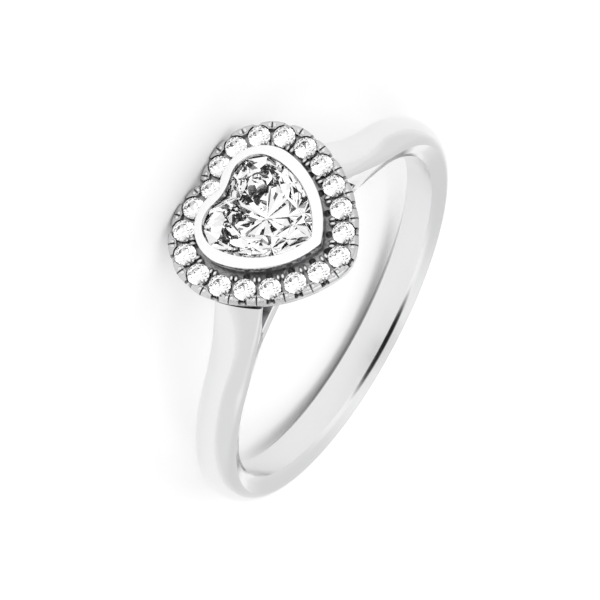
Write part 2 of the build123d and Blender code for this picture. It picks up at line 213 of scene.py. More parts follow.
def halved(low, high, times, past):
    """Ends of what is left of a span, halved so many times round the place where a test turns true."""
    for _ in range(times):
        middle = (low + high) / 2
        if past(middle):
            high = middle
        else:
            low = middle
    return low, high


def eased(knots, values, at):
    """Smooth curve through values at knots that never swings past them."""
    slopes = [(v1 - v0) / (k1 - k0) for k0, k1, v0, v1 in zip(knots, knots[1:], values, values[1:])]
    inner = [0.0 if a * b <= 0 else 2 * a * b / (a + b) for a, b in zip(slopes, slopes[1:])]
    tangents = [slopes[0]] + inner + [slopes[-1]]
    index = max(i for i in range(len(knots) - 1) if knots[i] <= max(at, knots[0]))
    span = knots[index + 1] - knots[index]
    t = min(max((at - knots[index]) / span, 0.0), 1.0)
    start, end = values[index], values[index + 1]
    return (
        start * (1 + 2 * t) * (1 - t) ** 2 + end * t * t * (3 - 2 * t)
        + span * (tangents[index] * t * (1 - t) ** 2 - tangents[index + 1] * t * t * (1 - t))
    )


def mark_sharp(mesh, limit):
    """Smooth faces with crisp edges wherever two faces meet at more than the limit."""
    work = bmesh.new()
    work.from_mesh(mesh)
    for face in work.faces:
        face.smooth = True
    for edge in work.edges:
        edge.smooth = edge.is_manifold and edge.calc_face_angle(0.0) < limit
    work.to_mesh(mesh)
    work.free()


def add_skin(work, loops, join_ends=False):
    """Adds a closed skin through loops of equal length, capped at its ends or joined into a ring."""
    rings = [[work.verts.new(point) for point in loop] for loop in loops]
    pairs = list(zip(rings, rings[1:])) + ([(rings[-1], rings[0])] if join_ends else [])
    for low, high in pairs:
        for i in range(len(low)):
            j = (i + 1) % len(low)
            work.faces.new((low[i], low[j], high[j], high[i]))
    if not join_ends:
        work.faces.new(rings[0])
        work.faces.new(rings[-1])


def finished(name, work):
    """Mesh of what was worked on, with its faces turned outwards."""
    bmesh.ops.recalc_face_normals(work, faces=work.faces)
    mesh = bpy.data.meshes.new(name)
    work.to_mesh(mesh)
    work.free()
    return mesh


# Points nearer than this are one
SAME_PLACE = MM * 1e-5


def wrap_loops(name, loops, join_ends=False):
    """Mesh of one skin through the loops."""
    work = bmesh.new()
    add_skin(work, loops, join_ends)
    bmesh.ops.remove_doubles(work, verts=work.verts, dist=SAME_PLACE)
    return finished(name, work)


def as_mesh(piece):
    """Plain mesh of a piece with its modifiers applied."""
    depsgraph = bpy.context.evaluated_depsgraph_get()
    return bpy.data.meshes.new_from_object(piece.evaluated_get(depsgraph))


def bench_object(name, data):
    piece = bpy.data.objects.new(name, data)
    bpy.context.scene.collection.objects.link(piece)
    return piece


def carve(mesh, cutters):
    """Takes closed cutter meshes out of a mesh, one group at a time."""
    for cutter in cutters:
        body, tool = bench_object("work", mesh), bench_object("tool", cutter)
        modifier = body.modifiers.new("carve", "BOOLEAN")
        modifier.operation = "DIFFERENCE"
        modifier.solver = "MANIFOLD"
        modifier.object = tool
        mesh = as_mesh(body)
        for used in (body, tool):
            bpy.data.objects.remove(used)
    return mesh


# Folds sharper than these many degrees stay crisp; the band's bevels are shallow
CRISP = 21
BAND_CRISP = 14


def lay_down(name, mesh, material, crisp=CRISP):
    """Finished metal piece, laid on its side with the ring and riding on its body."""
    if crisp:
        mark_sharp(mesh, math.radians(crisp))
    mesh.transform(LAID)
    mesh.materials.clear()
    mesh.materials.append(material)
    piece = bench_object(name, mesh)
    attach(piece, BODY)
    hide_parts(MOUNT_NODE)


# Metal of the band

# Way up a shoulder, from its start (-1) over the flare's start (0) to the plate (1), with the shares by
# which the band has become the strap, its extra depth, and the share of the strap's turn
STATIONS = {
    "way": (-1.0, -0.5, 0.0, 0.25, 0.5, 0.75, 1.04),
    "strap": (0.0, 0.02, 0.08, 0.25, 0.5, 0.8, 1.0),
    "depth": (0.0, 0.0, 0.02, 0.14, 0.4, 0.5, 0.3),
    "turn": (0.0, 0.0, 0.0, 0.04, 0.2, 0.55, 1.0),
}
# Sections along the band, along the shoulder's lead and along the flare
BAND_STEPS = 122
LEAD_STEPS = 14
FLARE_STEPS = 70
# Points of one section: over each haunch, over the crown, up a side wall and across the bore
ARCH_STEPS = 12
CROWN_STEPS = 20
WALL_STEPS = 4
FLAT_STEPS = 8
# How far under the bore the side walls aim, and the most that the flat bore takes of a section's foot
WALL_SINK = 0.15 * MM
FLAT_SHARE = 0.97
# Halvings in the search for a wall's end and for the window's foot, and the room kept free beside that
WALL_HALVINGS = 26
SPLIT_HALVINGS = 40
SPLIT_ROOM = 0.01

RAIL_STEPS = 90
RAIL_SOFT = 0.05 * MM
# The rail's ends lie this far under the shoulders' skin, from this far past the window's foot
RAIL_SINK = 0.012 * MM
RAIL_SINK_TURN = math.radians(1.5)


def arch_points(half_width, rise, haunch):
    """Three-centre arch from the near springing point over the crown to the far one."""
    haunch_centre = half_width - haunch
    crown = (haunch_centre**2 + rise**2 - haunch**2) / (2 * (rise - haunch))
    lean = math.atan2(haunch_centre, crown - rise)
    points = []
    for i in range(ARCH_STEPS):
        angle = (math.pi / 2 - lean) * i / ARCH_STEPS
        points.append((haunch_centre + haunch * math.cos(angle), haunch * math.sin(angle)))
    for i in range(CROWN_STEPS + 1):
        angle = lean - 2 * lean * i / CROWN_STEPS
        points.append((crown * math.sin(angle), rise - crown + crown * math.cos(angle)))
    return points + [(-x, y) for x, y in points[ARCH_STEPS - 1::-1]]


class BandShape:
    """Works out the band's cross-sections along its path from the back of the ring to one strap's end."""

    def __init__(self, band, head):
        self.band = band
        self.crown_radius = BORE_RADIUS + band.band_thickness
        start = polar(1.0, band.flare_start)
        top = Vector((band.shoulder_reach, 0.0, BORE_RADIUS + head.plate_height))
        along = start.dot(top)
        gap = top.dot(top) + self.crown_radius**2 - 2 * self.crown_radius * along
        self.flare_radius = gap / (2 * (along - self.crown_radius))
        self.flare_centre = start * (self.crown_radius + self.flare_radius)
        first = (start * self.crown_radius - self.flare_centre).normalized()
        last = (top - self.flare_centre).normalized()
        self.flare_first = first
        self.flare_across = Vector((first.z, 0.0, -first.x))
        self.flare_sweep = math.acos(first.dot(last))
        self.foot = polar(BORE_RADIUS + band.rail_thickness, band.window_foot)
        crest = Vector((band.shoulder_reach - band.strap_thickness, 0.0, top.z))
        self.window_way = crest - self.foot

    def crown_at(self, way):
        """Crown point and outward direction on the way from the shoulder's start (-1) to the plate (1)."""
        if way <= 0:
            angle = blend(self.band.flare_start, self.band.shoulder_start, -way)
            outwards = polar(1.0, angle)
            return outwards * self.crown_radius, outwards
        swing = self.flare_sweep * way
        inwards = self.flare_first * math.cos(swing) + self.flare_across * math.sin(swing)
        return self.flare_centre + inwards * self.flare_radius, -inwards

    def bore_level(self, crown, outwards, y):
        """Height on a section's own scale where it meets the bore at a distance along the finger."""
        over = max(abs(y) - self.band.bore_flat / 2, 0.0)
        limit = BORE_RADIUS + over * self.band.bevel_depth / self.band.bevel_width
        middle = -crown.dot(outwards)
        return middle + math.sqrt(max(middle**2 - crown.dot(crown) + limit**2, 0.0))

    def window_level(self, crown, outwards):
        """Height on a section's own scale where it meets the window's slope, and how far up that slope."""
        way = self.window_way
        gap = self.foot - crown
        cross = outwards.x * way.z - outwards.z * way.x
        level = (gap.x * way.z - gap.z * way.x) / cross
        climb = (gap.x * outwards.z - gap.z * outwards.x) / cross
        return level, climb

    def section(self, way, under_window=False):
        """Closed loop of points round one cross-section."""
        band = self.band
        station = {key: eased(STATIONS["way"], values, way) for key, values in STATIONS.items()}
        strap = station["strap"]
        crown, outwards = self.crown_at(way)
        width = blend(band.band_width, band.strap_width, strap)
        rise = blend(band.dome_rise, band.strap_rise, strap)
        haunch = blend(band.haunch_radius, band.strap_haunch, strap)
        depth = WALL_SINK + band.band_thickness * (1 + station["depth"])
        swing = -band.strap_turn * station["turn"]
        cos, sin = math.cos(swing), math.sin(swing)

        def turned(x, y):
            x, y = x + width / 2, y + rise
            return x * cos - y * sin - width / 2, x * sin + y * cos - rise

        over = [turned(x, y - rise) for x, y in arch_points(width / 2, rise, haunch)]
        window, _ = self.window_level(crown, outwards)

        def level(y):
            return window if under_window else self.bore_level(crown, outwards, y)

        def wall_end(top, foot):
            def too_deep(amount):
                return blend(top[1], foot[1], amount) <= level(blend(top[0], foot[0], amount))

            x = blend(top[0], foot[0], halved(0.0, 2.0, WALL_HALVINGS, too_deep)[0])
            return x, level(x)

        far_end = wall_end(over[-1], turned(-band.foot_width / 2, -depth))
        near_end = wall_end(over[0], turned(band.foot_width / 2, -depth))
        flat = band.bore_flat / 2
        far_flat = max(-flat, far_end[0] * FLAT_SHARE)
        near_flat = min(flat, near_end[0] * FLAT_SHARE)
        bottom = [blend(far_flat, near_flat, i / FLAT_STEPS) for i in range(FLAT_STEPS + 1)]

        def wall(start, end):
            shares = [i / WALL_STEPS for i in range(1, WALL_STEPS)]
            return [tuple(blend(a, b, part) for a, b in zip(start, end)) for part in shares]

        foot = [far_end] + [(x, level(x)) for x in bottom] + [near_end]
        outline = over + wall(over[-1], far_end) + foot + wall(near_end, over[0])
        return [crown + outwards * y + Vector((0.0, x, 0.0)) for x, y in outline]

    def split_way(self):
        """Where along the flare a section passes exactly through the window's foot."""
        def past(way):
            return self.window_level(*self.crown_at(way))[1] > 0

        return halved(0.0, 1.0, SPLIT_HALVINGS, past)[1]


def band_mesh(band, head):
    """Band and both shoulders as one skin, from one strap's end round the back to the other's."""
    shape = BandShape(band, head)
    start = band.shoulder_start
    plain = shape.section(-1.0)
    half = []
    for i in range(BAND_STEPS):
        back = Matrix.Rotation(blend(math.pi, start, i / BAND_STEPS) - start, 3, "Y")
        half.append([back @ point for point in plain])
    half += [shape.section(-1 + i / LEAD_STEPS) for i in range(LEAD_STEPS)]
    split = shape.split_way()
    last = STATIONS["way"][-1]
    ways = [last * i / FLARE_STEPS for i in range(FLARE_STEPS + 1)]
    half += [shape.section(way) for way in ways if way < split - SPLIT_ROOM]
    half += [shape.section(split), shape.section(split, True)]
    half += [shape.section(way, True) for way in ways if way > split + SPLIT_ROOM]
    other = [[Vector((-point.x, point.y, point.z)) for point in loop] for loop in half[:0:-1]]
    return wrap_loops("band", other + half)


def rail_mesh(band):
    """Flat strip that carries the bore on under the head, its ends sunk in the shoulders."""
    reach = (band.flare_start + band.window_foot) / 2
    sunk_from = band.window_foot + RAIL_SINK_TURN
    soft, loops = RAIL_SOFT, []
    for i in range(RAIL_STEPS + 1):
        angle = blend(-reach, reach, i / RAIL_STEPS)
        inset = RAIL_SINK if abs(angle) > sunk_from else 0.0
        half = band.bore_flat / 2 - inset
        low, high = BORE_RADIUS + inset, BORE_RADIUS + band.rail_thickness - inset
        near = [(half - soft, low), (half, low + soft), (half, high - soft), (half - soft, high)]
        outline = near + [(-y, radius) for y, radius in near[::-1]]
        loops.append([polar(radius, angle) + Vector((0.0, y, 0.0)) for y, radius in outline])
    return wrap_loops("rail", loops)


# Metal of the head

ARC_STEPS = {"notch": 40, "lobe": 160, "side": 140, "tip": 40}


class HeartLine:
    """One of the head's heart outlines, with its tip along Y."""

    def __init__(self, key, width):
        *parts, degrees = HEARTS[key]
        parts = [part * width for part in parts]
        self.line, self.lobe, self.spread, self.side, self.tip, self.notch = parts
        self.side_turn = math.radians(degrees)

    def arcs(self, grow=0.0, corner=0.0):
        """Arcs of the right half, from the cleft to the tip: centre, radius, first and last angle."""
        lobe, side = self.lobe + grow, self.side + grow
        tip = max(self.tip + grow, corner)
        notch = self.notch - grow
        notch_y = self.line - math.sqrt((lobe + notch) ** 2 - self.spread**2)
        lobe_start = math.atan2(notch_y - self.line, -self.spread)
        side_x = self.spread - (side - lobe) * math.cos(self.side_turn)
        side_y = self.line - (side - lobe) * math.sin(self.side_turn)
        tip_y = side_y + math.sqrt((side - tip) ** 2 - side_x**2)
        side_end = math.atan2(tip_y - side_y, -side_x)
        return [
            ("notch", (0.0, notch_y), notch, math.pi / 2, lobe_start + math.pi),
            ("lobe", (self.spread, self.line), lobe, lobe_start, self.side_turn),
            ("side", (side_x, side_y), side, self.side_turn, side_end),
            ("tip", (0.0, tip_y), tip, side_end, math.pi / 2),
        ]

    def loop(self, height, grow=0.0, corner=0.0, shrink=1.0, middle=0.0):
        """Closed level loop. A shrunk one is drawn smaller about a point on the middle line."""
        right = []
        for name, (x, y), radius, start, end in self.arcs(grow, corner):
            for i in range(ARC_STEPS[name]):
                angle = blend(start, end, i / ARC_STEPS[name])
                right.append((x + radius * math.cos(angle), y + radius * math.sin(angle)))
        right.append((x, y + radius))
        points = right + [(-x, y) for x, y in right[-2:0:-1]]
        return [Vector((x * shrink, blend(middle, y, shrink), height)) for x, y in points]

    def places(self, count, shift):
        """Evenly spaced points with their outward directions, for the stones or for the gaps after them."""
        arcs = self.arcs()
        lengths = [abs(end - start) * radius for _, _, radius, start, end in arcs]
        total = sum(lengths)
        places = []
        for index in range(count):
            step = index + shift
            flip = -1 if step > count / 2 else 1
            along = total * min(step, count - step) / (count / 2)
            for (name, (x, y), radius, start, end), arc_length in zip(arcs, lengths):
                if along <= arc_length or name == "tip":
                    break
                along -= arc_length
            angle = start + (end - start) * along / arc_length
            way = Vector((math.cos(angle), math.sin(angle), 0.0))
            point = Vector((x, y, 0.0)) + way * radius
            out = -way if name == "notch" else way
            places.append([Vector((v.x * flip, v.y, 0.0)) for v in (point, out)])
        return places


class HeadShape:
    """Heights and outlines of the head, worked out from its sizes."""

    def __init__(self, band, head, stones):
        self.rail_radius = BORE_RADIUS + band.rail_thickness
        self.plate_low = BORE_RADIUS + head.plate_height
        self.plate_high = self.plate_low + head.plate_thickness
        self.girdle = self.plate_high + head.girdle_height
        self.shelf = self.girdle + head.shelf_height
        self.claw_top = self.girdle + head.claw_height
        self.bezel_top = self.girdle + head.bezel_height
        self.heart_girdle = self.bezel_top - head.lip_depth
        self.outlines = {key: HeartLine(key, head.bezel_width) for key in HEARTS}
        self.stones = self.outlines["halo"].places(len(HALO_NODES), 0.0)
        self.gaps = self.outlines["halo"].places(len(HALO_NODES), 0.5)
        side_stone, next_stone = self.stones[5][0], self.stones[6][0]
        self.half_pitch = (side_stone - next_stone).length / 2
        self.stone_radius = [stones.cleft_stone / 2] + [stones.halo_stone / 2] * (len(HALO_NODES) - 1)


EDGE_STEPS = 6
MOUTH_EDGE = 0.012 * MM
# The collet draws in towards this place along the heart, to these shares of its outline at its foot
HEART_MIDDLE = -0.75 * MM
COLLET_FOOT_SHARE = 0.36
HOLLOW_FOOT_SHARE = 0.14
# Depth of the collet's foot in the rail, and height of the hollow's floor over it
COLLET_SINK = 0.12 * MM
HOLLOW_FLOOR = 0.25 * MM


def quarter_turn(steps):
    """Sines and cosines at even steps over a quarter turn, for a rounded edge."""
    angles = [math.pi / 2 * i / steps for i in range(steps + 1)]
    return [(math.sin(angle), math.cos(angle)) for angle in angles]


def bezel_mesh(head, shape):
    """Collet and bezel of the heart stone: a closed cup with a flat, softly edged lip."""
    outside, mouth, girdle = (shape.outlines[key] for key in ("outside", "mouth", "girdle"))
    corner, soft, top = head.bezel_corner, head.edge_round, shape.bezel_top
    loops = [
        outside.loop(shape.rail_radius - COLLET_SINK, shrink=COLLET_FOOT_SHARE, middle=HEART_MIDDLE),
        outside.loop(shape.plate_low, -head.bezel_taper, corner),
        outside.loop(blend(shape.plate_low, top - head.bezel_upright, 0.5), -head.bezel_taper / 2, corner),
        outside.loop(top - head.bezel_upright, 0.0, corner),
    ]
    for sin, cos in quarter_turn(EDGE_STEPS):
        loops.append(outside.loop(top - soft + soft * sin, soft * (cos - 1), corner))
    low = shape.heart_girdle - head.heart_girdle - head.lip_overlap
    shoulder = shape.heart_girdle + head.lip_gap
    lip = mouth.loop(top, 0.0, corner)
    seat = girdle.loop(shape.heart_girdle, 0.0, corner)
    fall = head.lip_gap / head.lip_depth
    loops += [
        mouth.loop(top, MOUTH_EDGE, corner),
        mouth.loop(top - MOUTH_EDGE, 0.0, corner),
        [b.lerp(a, fall) for a, b in zip(lip, seat)],
        girdle.loop(shoulder, head.lip_overlap, corner),
        girdle.loop(low, head.lip_overlap, corner),
        girdle.loop(low, 0.0, corner),
        outside.loop(shape.rail_radius + HOLLOW_FLOOR, shrink=HOLLOW_FOOT_SHARE, middle=HEART_MIDDLE),
    ]
    return wrap_loops("bezel", loops)


def turned_tool(places, outline, sides=32):
    """One mesh of solids turned about upright axes; the outline is (radius, height) from the bottom."""
    angles = [2 * math.pi * i / sides for i in range(sides)]
    work = bmesh.new()
    for place, scale in places:
        add_skin(work, [[
            (place.x + radius * scale * math.cos(angle), place.y + radius * scale * math.sin(angle), height)
            for angle in angles
        ] for radius, height in outline])
    return finished("tool", work)


def placed_tool(places, add):
    """One mesh of shapes that are added lying along X and then turned outwards at each place."""
    work = bmesh.new()
    for place, out in places:
        along = Matrix((out, Vector((-out.y, out.x, 0)), Vector((0, 0, 1)))).transposed().to_4x4()
        add(work, Matrix.Translation(place) @ along)
    return finished("tool", work)


def add_cylinder(work, radius, depth, at, sides):
    bmesh.ops.create_cone(
        work, cap_ends=True, segments=sides, radius1=radius, radius2=radius, depth=depth, matrix=at
    )


# How blunt the outer wall's swellings are, and the part of their height that lies under the plain wall
LUMP_BLUNTNESS = 0.8
LUMP_SUNK = 0.5
LUMP_STEPS = 7
# Distance between the two loops that show which way the wall faces
FACING_STEP = 0.1 * MM
# Lowest heights over the plate's underside where the wall gets a loop of its own
WALL_LEVELS = (0.15 * MM, 0.3 * MM)
# How far the plate reaches into the collet, and the spare length of a tool under the plate
PLATE_SINK = 0.15 * MM
TOOL_SPARE = 0.2 * MM
# Lengths of the scallop's and the slot's tools as shares of the rim's reach, of the side hole's as a share
# of the plate's thickness, and the part of a side hole's radius that clears the stone
SCALLOP_REACH = 1.9
SLOT_REACH = 1.1
SIDE_HOLE_REACH = 1.5
SIDE_HOLE_CLEAR = 0.62
# Stones on the tip's side, which have a hole between them and the bezel
TIP_STONES = slice(6, 15)


def swollen(shape, head, height, inset=0.0):
    """Level loop of the outer wall that swells out between the halo stones, most at its top."""
    line = shape.outlines["halo"]
    rise = (height - shape.plate_low) / (shape.shelf - shape.plate_low)
    grow = blend(head.rim_foot, head.rim_head, rise) - inset
    plain = line.loop(height, grow)
    inner = line.loop(height, grow - FACING_STEP)
    loop = []
    for point, within in zip(plain, inner):
        out = (point - within).normalized()
        nearest = min((point - place - out * grow).xy.length for place, _ in shape.stones)
        away = min(nearest / shape.half_pitch, 1.0)
        bulge = math.sin(math.pi / 2 * away) ** LUMP_BLUNTNESS - LUMP_SUNK
        loop.append(point + out * (head.lump * rise * bulge))
    return loop


def rim_mesh(head, stones, shape):
    """Halo plate with its outer wall, seats, scallops and slots."""
    line, outside = shape.outlines["halo"], shape.outlines["outside"]
    soft, crown = head.edge_round, head.lump_round
    levels = [shape.plate_low + level for level in (soft, *WALL_LEVELS)] + [shape.plate_high]
    loops = [line.loop(shape.plate_low, head.rim_foot - soft)]
    loops += [swollen(shape, head, height) for height in levels]
    for sin, cos in quarter_turn(LUMP_STEPS):
        loops.append(swollen(shape, head, shape.shelf - crown + crown * sin, crown * (1 - cos)))
    loops += [
        line.loop(shape.shelf, head.rim_inner),
        line.loop(shape.plate_high, head.rim_inner),
        outside.loop(shape.plate_high, -head.bezel_taper - PLATE_SINK, head.bezel_corner),
        outside.loop(shape.plate_low, -head.bezel_taper - PLATE_SINK, head.bezel_corner),
    ]
    mesh = wrap_loops("rim", loops, join_ends=True)
    radius = stones.halo_stone / 2 + head.seat_clearance
    low = shape.girdle - stones.girdle_thickness - head.seat_clearance
    hole_top = low - (radius - head.back_hole) * stones.pavilion * 2
    outline = [
        (head.back_hole, shape.plate_low - TOOL_SPARE), (head.back_hole, hole_top),
        (radius, low), (radius, shape.bezel_top),
    ]
    scales = [(stone + head.seat_clearance) / radius for stone in shape.stone_radius]
    seats = [(place, scale) for (place, _), scale in zip(shape.stones, scales)]
    cutters = [turned_tool(seats[0::2], outline), turned_tool(seats[1::2], outline)]

    def scallop(work, at):
        middle = at @ Matrix.Translation((head.rim_head, 0, shape.girdle))
        lying = middle @ Matrix.Rotation(math.pi / 2, 4, "Y")
        add_cylinder(work, head.scallop, head.rim_head * SCALLOP_REACH, lying, sides=40)

    def slot(work, at):
        centre = at @ Matrix.Translation((head.rim_head, 0, shape.shelf))
        size = Matrix.Diagonal((head.rim_head * SLOT_REACH, head.slot_width, head.slot_depth * 2, 1))
        bmesh.ops.create_cube(work, size=1, matrix=centre @ size)

    def side_hole(work, at):
        inwards = stones.halo_stone / 2 + head.seat_clearance + SIDE_HOLE_CLEAR * head.side_hole
        middle = at @ Matrix.Translation((-inwards, 0, shape.plate_high))
        add_cylinder(work, head.side_hole, head.plate_thickness * SIDE_HOLE_REACH, middle, sides=20)

    for places, add in (
        (shape.stones[TIP_STONES], side_hole), (shape.stones[0::2], scallop), (shape.stones[1::2], scallop),
        (shape.gaps, slot),
    ):
        cutters.append(placed_tool(places, add))
    return carve(mesh, cutters)


# Claws


def claw_points(places):
    """Mesh of bare points, each carrying the outward direction of its claw."""
    mesh = bpy.data.meshes.new("claw points")
    mesh.from_pydata([tuple(place) for place, _ in places], [], [])
    outward = mesh.attributes.new("outward", "FLOAT_VECTOR", "POINT")
    for datum, (_, out) in zip(outward.data, places):
        datum.vector = out
    return mesh


def feed(tree, node, inputs):
    """Sets a node's inputs, by name or number, to values or links them to the outputs given."""
    for key, value in inputs.items():
        if isinstance(value, bpy.types.NodeSocket):
            tree.links.new(value, node.inputs[key])
        else:
            node.inputs[key].default_value = value


def add_node(tree, kind, inputs=(), **attributes):
    """New node with its attributes set and its inputs fed."""
    node = tree.nodes.new(kind)
    for name, value in attributes.items():
        setattr(node, name, value)
    feed(tree, node, dict(inputs))
    return node


CLAW_LEVELS = 14
CLAW_SIDES = 14
# Smallest share of its width that a claw keeps at its very top, squared
CLAW_POINT = 0.02


def claw_tree():
    """Rounded claws standing on points and turned outwards, their size given by named inputs."""
    tree = bpy.data.node_groups.new("Claws", "GeometryNodeTree")
    for name, direction, kind in (
        ("Geometry", "INPUT", "Geometry"), ("Radius", "INPUT", "Float"), ("Height", "INPUT", "Float"),
        ("Stretch", "INPUT", "Float"), ("Finish", "INPUT", "Material"), ("Geometry", "OUTPUT", "Geometry"),
    ):
        tree.interface.new_socket(name, in_out=direction, socket_type="NodeSocket" + kind)

    def result(kind, inputs=(), **attributes):
        return add_node(tree, kind, inputs, **attributes).outputs[0]

    def worked_out(operation, *values):
        return result("ShaderNodeMath", enumerate(values), operation=operation)

    given = add_node(tree, "NodeGroupInput").outputs
    stem = result("GeometryNodeCurvePrimitiveLine", {
        "End": result("ShaderNodeCombineXYZ", {"Z": given["Height"]}),
    })
    along = add_node(tree, "GeometryNodeSplineParameter").outputs["Length"]
    left = worked_out("SUBTRACT", given["Height"], along)
    near_top = worked_out("MINIMUM", worked_out("DIVIDE", left, given["Radius"]), 1.0)
    fall = worked_out("SUBTRACT", 1.0, near_top)
    round_top = worked_out("SUBTRACT", 1.0, worked_out("MULTIPLY", fall, fall))
    ring = result("GeometryNodeCurvePrimitiveCircle", {
        "Resolution": CLAW_SIDES, "Radius": given["Radius"],
    }, mode="RADIUS")
    claw = result("GeometryNodeCurveToMesh", {
        "Curve": result("GeometryNodeResampleCurve", {"Curve": stem, "Count": CLAW_LEVELS}),
        "Profile Curve": ring,
        "Scale": worked_out("SQRT", worked_out("MAXIMUM", round_top, CLAW_POINT)),
        "Fill Caps": True,
    })
    outward = add_node(
        tree, "GeometryNodeInputNamedAttribute", {"Name": "outward"}, data_type="FLOAT_VECTOR"
    )
    facing = result("FunctionNodeAxesToRotation", {
        "Primary Axis": (0, 0, 1), "Secondary Axis": outward.outputs["Attribute"],
    }, primary_axis="Z", secondary_axis="X")
    claws = result("GeometryNodeInstanceOnPoints", {
        "Points": given["Geometry"],
        "Instance": result("GeometryNodeSetShadeSmooth", {"Geometry": claw}),
        "Rotation": facing,
        "Scale": result("ShaderNodeCombineXYZ", {"X": given["Stretch"], "Y": 1.0, "Z": 1.0}),
    })
    real = result("GeometryNodeRealizeInstances", {0: claws})
    finish = result("GeometryNodeSetMaterial", {"Geometry": real, "Material": given["Finish"]})
    add_node(tree, "NodeGroupOutput", {0: finish})
    return tree


def grow_claws(name, places, given):
    """Claws at the given places as one plain mesh, the tree's inputs given by their names."""
    carrier = bench_object(name + " points", claw_points(places))
    modifier = carrier.modifiers.new("claws", "NODES")
    modifier.node_group = bpy.data.node_groups.get("Claws") or claw_tree()
    for item in modifier.node_group.interface.items_tree:
        if item.in_out == "INPUT" and item.name in given:
            modifier[item.identifier] = given[item.name]
    mesh = as_mesh(carrier)
    carrier.modifiers.remove(modifier)
    bpy.data.objects.remove(carrier)
    return mesh


# Materials


def new_material(name):
    """Material with one shader, given together with its tree and that shader."""
    material = bpy.data.materials.new(name)
    material.use_nodes = True
    tree = material.node_tree
    tree.nodes.clear()
    shader = add_node(tree, "ShaderNodeBsdfPrincipled")
    add_node(tree, "ShaderNodeOutputMaterial", {0: shader.outputs[0]})
    return material, tree, shader


def drifting(tree, scale, detail=2.0):
    """Soft random pattern over the surface, from 0 to 1, with about that scale of spots in a metre."""
    where = add_node(tree, "ShaderNodeTexCoord").outputs["Object"]
    inputs = {"Vector": where, "Scale": scale, "Detail": detail}
    return add_node(tree, "ShaderNodeTexNoise", inputs).outputs["Fac"]


def remapped(tree, value, span, ends, kind="LINEAR"):
    """Value that goes from one end to the other while the given one runs through the span."""
    inputs = dict(zip(("Value", "From Min", "From Max", "To Min", "To Max"), (value, *span, *ends)))
    return add_node(tree, "ShaderNodeMapRange", inputs, interpolation_type=kind).outputs[0]


def toned(tree, amount, first, second):
    """Colour that goes from the first to the second with the amount."""
    inputs = {"Factor": amount, "A": (*first, 1.0), "B": (*second, 1.0)}
    return add_node(tree, "ShaderNodeMix", inputs, data_type="RGBA").outputs["Result"]


# Spots per metre of the polishing haze, the tool marks, the stones' haze and the card's grain
HAZE_SCALE = 900.0
TOOL_MARK_SCALE = 5000.0
GEM_HAZE_SCALE = 700.0
CARD_GRAIN_SCALE = 300.0
TOOL_MARK_HEIGHT = 0.06 * MM
# Parts of those patterns' range that show, and how far the metal's haze moves its roughness
HAZE_SPAN = (0.3, 0.7)
HAZE_SWING = 0.3
GEM_HAZE_SPAN = (0.55, 0.9)
# Darkest shades of the patterns in the stones and the card, as shares of the lightest
GEM_SHADE = 0.97
CARD_SHADE = 0.985
CARD_ROUGHNESS = 0.9
# How near other metal has to be for shade to be painted into a recess, and the open shares between which
# that painted shade is laid
PAINTED_SHADE_REACH = 0.8 * MM
PAINTED_SHADE_SPAN = (0.15, 0.8)


def metal_material(name, shade, finishes, relief):
    """Plated white gold: polish with a faint haze, shade painted into its recesses and, if wanted, fine
    tool marks.
    """
    material, tree, shader = new_material(name)
    haze = drifting(tree, HAZE_SCALE, 3.0)
    rough = [finishes.polish * (1 - HAZE_SWING), finishes.polish * (1 + HAZE_SWING)]
    # Painted shade: the colour goes towards the dark recess colour where occlusion finds other metal near
    deep = add_node(tree, "ShaderNodeAmbientOcclusion", {"Distance": PAINTED_SHADE_REACH}, samples=8)
    openness = remapped(tree, deep.outputs["AO"], PAINTED_SHADE_SPAN, (0.0, 1.0), "SMOOTHSTEP")
    feed(tree, shader, {
        "Metallic": 1.0,
        "Roughness": remapped(tree, haze, HAZE_SPAN, rough),
        "Base Color": toned(tree, openness, finishes.painted_recess_shade, shade),
    })
    if relief:
        marks = drifting(tree, TOOL_MARK_SCALE, 3.0)
        inputs = {"Strength": relief, "Distance": TOOL_MARK_HEIGHT, "Height": marks}
        feed(tree, shader, {"Normal": add_node(tree, "ShaderNodeBump", inputs).outputs[0]})
    return material


def gem_material(name, finishes, index):
    """Clear faceted stone, with a breath of haze that drifts over its polish."""
    material, tree, shader = new_material(name)
    drift = drifting(tree, GEM_HAZE_SCALE)
    deeper = [GEM_SHADE * value for value in finishes.gem]
    feed(tree, shader, {
        "Transmission Weight": 1.0,
        "IOR": index,
        "Specular Tint": (*[finishes.gem_mirror] * 3, 1.0),
        "Roughness": remapped(tree, drift, GEM_HAZE_SPAN, (0.0, finishes.gem_haze)),
        "Base Color": toned(tree, drift, finishes.gem, deeper),
    })
    return material


def floor_material(finishes):
    """Smooth white sweep of card."""
    material, tree, shader = new_material("white card")
    grain = drifting(tree, CARD_GRAIN_SCALE)
    darker = [CARD_SHADE * value for value in finishes.floor]
    feed(tree, shader, {
        "Base Color": toned(tree, grain, darker, finishes.floor),
        "Roughness": CARD_ROUGHNESS,
        "Emission Color": (*finishes.floor, 1.0),
        "Emission Strength": finishes.floor_glow,
    })
    return material


# Parts of the dome, whose lights multiply: direction, cosines where it begins and is full, light outside
# and inside it. They are the top, the fade from the horizon, the far side, a black card overhead and a
# dark opening where the camera looks in.
DOME = (
    ((0.0, 0.0, 1.0), 0.6, 0.85, 0.9, 1.13),
    ((0.0, 0.0, 1.0), 0.0, 0.2, 1.12, 1.0),
    ((0.0, 1.0, 0.25), 0.7, 0.98, 1.0, 0.9),
    ((-0.045, 0.322, 0.946), 0.955, 0.99, 1.0, 0.01),
    ((0.196, -0.863, 0.466), 0.927, 0.951, 1.0, 0.15),
)


